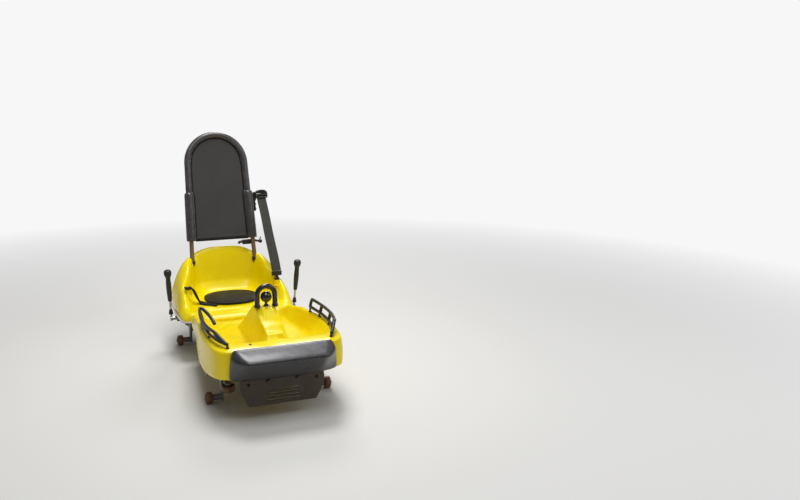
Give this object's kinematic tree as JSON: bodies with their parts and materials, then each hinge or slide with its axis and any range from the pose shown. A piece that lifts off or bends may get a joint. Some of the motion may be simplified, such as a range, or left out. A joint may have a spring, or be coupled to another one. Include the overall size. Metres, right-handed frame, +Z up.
{
  "type": "mountain coaster sled",
  "caption": "Bright yellow mountain coaster sled: moulded seat tub and footwell on a steel chassis with rail wheels, hooped backrest, belt, grab hoop and brake levers.",
  "frame": {"origin": "middle of the bounding box's footprint, on the plane that the under-rail wheels stand on", "axes": "+X to the rider's left, +Y towards the back, +Z up; the front bumper faces -Y"},
  "size_m": [0.6766, 1.4774, 1.0489],
  "materials": {
    "yellow_shell": "gloss",
    "pale_edge": "matte",
    "grey_bumper": "satin",
    "mat": "matte",
    "black_webbing": "matte",
    "grey_webbing": "matte",
    "black_plastic": "satin",
    "black_gloss": "gloss",
    "black_foam": "matte",
    "black_rubber": "matte",
    "dark_mesh": "matte",
    "zinc_steel": "satin",
    "bright_steel": "satin",
    "cast_iron": "matte",
    "wheel_tread": "satin"
  },
  "bodies": {
    "sled": {"seat_tub": "yellow_shell", "front_shell": "yellow_shell", "lower_rim": "pale_edge", "front_bumper": "grey_bumper", "rear_buffer": "grey_bumper", "seat_mat": "mat", "lap_strap": "black_webbing", "belt_webbing": "grey_webbing", "belt_guide": "black_plastic", "belt_anchor": "black_plastic", "grab_hoop": "black_gloss", "console_knob": "black_gloss", "foot_guard_left": "black_plastic", "foot_guard_right": "black_plastic", "back_frame": "zinc_steel", "frame_padding": "black_foam", "back_mesh": "dark_mesh", "tube_sockets": "black_plastic", "chassis_frame": "zinc_steel", "cross_members": "zinc_steel", "front_crossplate": "zinc_steel", "brake_unit": "cast_iron", "carrier_front_left": "zinc_steel", "carrier_front_right": "zinc_steel", "carrier_rear_left": "zinc_steel", "carrier_rear_right": "zinc_steel"},
    "run_wheel_front_left_body": {"run_wheel_front_left": "wheel_tread"},
    "guide_wheel_front_left_body": {"guide_wheel_front_left": "wheel_tread"},
    "upstop_wheel_front_left_body": {"upstop_wheel_front_left": "wheel_tread"},
    "run_wheel_front_right_body": {"run_wheel_front_right": "wheel_tread"},
    "guide_wheel_front_right_body": {"guide_wheel_front_right": "wheel_tread"},
    "upstop_wheel_front_right_body": {"upstop_wheel_front_right": "wheel_tread"},
    "run_wheel_rear_left_body": {"run_wheel_rear_left": "wheel_tread"},
    "guide_wheel_rear_left_body": {"guide_wheel_rear_left": "wheel_tread"},
    "upstop_wheel_rear_left_body": {"upstop_wheel_rear_left": "wheel_tread"},
    "run_wheel_rear_right_body": {"run_wheel_rear_right": "wheel_tread"},
    "guide_wheel_rear_right_body": {"guide_wheel_rear_right": "wheel_tread"},
    "upstop_wheel_rear_right_body": {"upstop_wheel_rear_right": "wheel_tread"},
    "brake_levers": {"brake_shaft": "bright_steel", "lever_grip_left": "black_plastic", "lever_grip_right": "black_plastic", "lever_boots": "black_rubber"}
  },
  "joints": [
    {"name": "run_wheel_front_left_spin", "type": "hinge", "parent": "sled", "child": "run_wheel_front_left_body", "pos_m": [-0.2575, -0.38862, 0.1681], "axis": [1, 0, 0], "continuous": true},
    {"name": "guide_wheel_front_left_spin", "type": "hinge", "parent": "sled", "child": "guide_wheel_front_left_body", "pos_m": [-0.19145, -0.47262, 0.09005], "axis": [0, 0, 1], "continuous": true},
    {"name": "upstop_wheel_front_left_spin", "type": "hinge", "parent": "sled", "child": "upstop_wheel_front_left_body", "pos_m": [-0.2575, -0.38862, 0.025], "axis": [1, 0, 0], "continuous": true},
    {"name": "run_wheel_front_right_spin", "type": "hinge", "parent": "sled", "child": "run_wheel_front_right_body", "pos_m": [0.2575, -0.38862, 0.1681], "axis": [1, 0, 0], "continuous": true},
    {"name": "guide_wheel_front_right_spin", "type": "hinge", "parent": "sled", "child": "guide_wheel_front_right_body", "pos_m": [0.19145, -0.47262, 0.09005], "axis": [0, 0, 1], "continuous": true},
    {"name": "upstop_wheel_front_right_spin", "type": "hinge", "parent": "sled", "child": "upstop_wheel_front_right_body", "pos_m": [0.2575, -0.38862, 0.025], "axis": [1, 0, 0], "continuous": true},
    {"name": "run_wheel_rear_left_spin", "type": "hinge", "parent": "sled", "child": "run_wheel_rear_left_body", "pos_m": [-0.2575, 0.44138, 0.1681], "axis": [1, 0, 0], "continuous": true},
    {"name": "guide_wheel_rear_left_spin", "type": "hinge", "parent": "sled", "child": "guide_wheel_rear_left_body", "pos_m": [-0.19145, 0.52538, 0.09005], "axis": [0, 0, 1], "continuous": true},
    {"name": "upstop_wheel_rear_left_spin", "type": "hinge", "parent": "sled", "child": "upstop_wheel_rear_left_body", "pos_m": [-0.2575, 0.44138, 0.025], "axis": [1, 0, 0], "continuous": true},
    {"name": "run_wheel_rear_right_spin", "type": "hinge", "parent": "sled", "child": "run_wheel_rear_right_body", "pos_m": [0.2575, 0.44138, 0.1681], "axis": [1, 0, 0], "continuous": true},
    {"name": "guide_wheel_rear_right_spin", "type": "hinge", "parent": "sled", "child": "guide_wheel_rear_right_body", "pos_m": [0.19145, 0.52538, 0.09005], "axis": [0, 0, 1], "continuous": true},
    {"name": "upstop_wheel_rear_right_spin", "type": "hinge", "parent": "sled", "child": "upstop_wheel_rear_right_body", "pos_m": [0.2575, 0.44138, 0.025], "axis": [1, 0, 0], "continuous": true},
    {"name": "brake_lever_pull", "type": "hinge", "parent": "sled", "child": "brake_levers", "pos_m": [0, 0.33438, 0.17605], "axis": [1, 0, 0], "range_deg": [-18, 14]}
  ]
}
